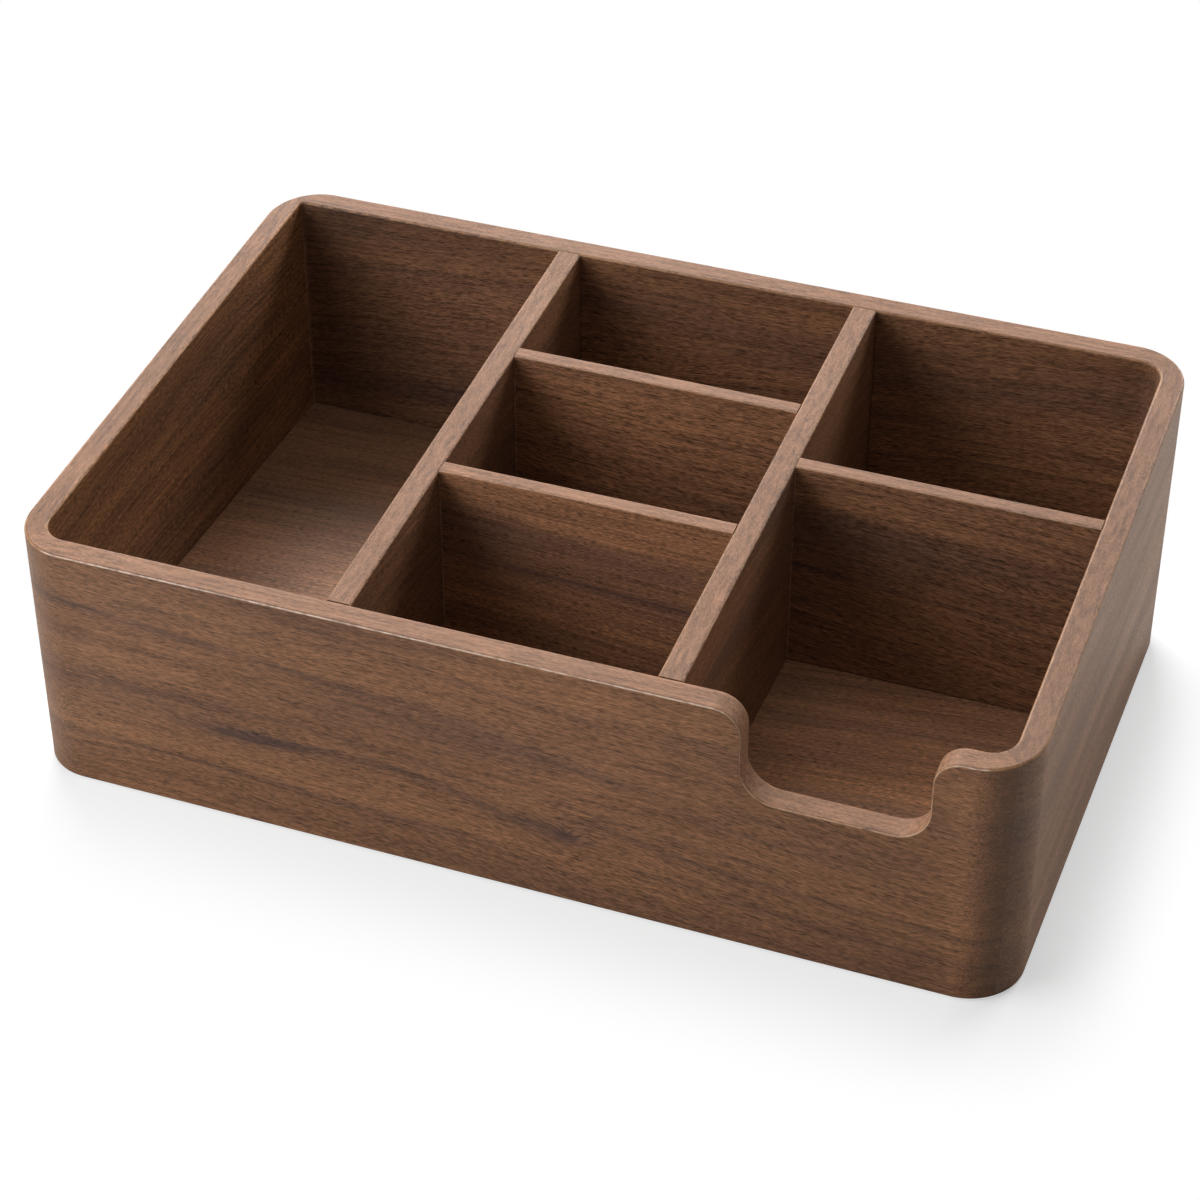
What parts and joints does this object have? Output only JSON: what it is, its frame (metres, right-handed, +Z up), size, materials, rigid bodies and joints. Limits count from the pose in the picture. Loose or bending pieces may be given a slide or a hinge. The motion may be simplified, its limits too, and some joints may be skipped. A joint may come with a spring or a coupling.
{
  "type": "coffee station organizer",
  "caption": "Walnut box organizer with rounded corners, a rim that slopes down to the front, crossed dividers that make open compartments, and a scooped finger opening in front.",
  "frame": {"origin": "on the surface that the pads stand on, below the middle of the box", "axes": "+X to the user's right, +Y to the back, +Z up; the low side with the scooped opening faces -Y"},
  "size_m": [0.32, 0.205, 0.1049],
  "materials": {
    "walnut_wall": "satin oiled walnut",
    "walnut_divider": "satin oiled walnut",
    "walnut_floor": "satin oiled walnut",
    "spline_wood": "bare hardwood",
    "pad_felt": "felt"
  },
  "bodies": {
    "root": {"front_wall": "walnut_wall", "right_wall": "walnut_wall", "back_wall": "walnut_wall", "left_wall": "walnut_wall", "base_panel": "walnut_floor", "long_divider_left": "walnut_divider", "long_divider_right": "walnut_divider", "cross_divider_middle_rear": "walnut_divider", "cross_divider_middle_front": "walnut_divider", "cross_divider_right": "walnut_divider", "mitre_spline_front_left": "spline_wood", "mitre_spline_front_right": "spline_wood", "mitre_spline_back_left": "spline_wood", "mitre_spline_back_right": "spline_wood", "pad_front_left": "pad_felt", "pad_front_right": "pad_felt", "pad_back_left": "pad_felt", "pad_back_right": "pad_felt"}
  },
  "joints": []
}
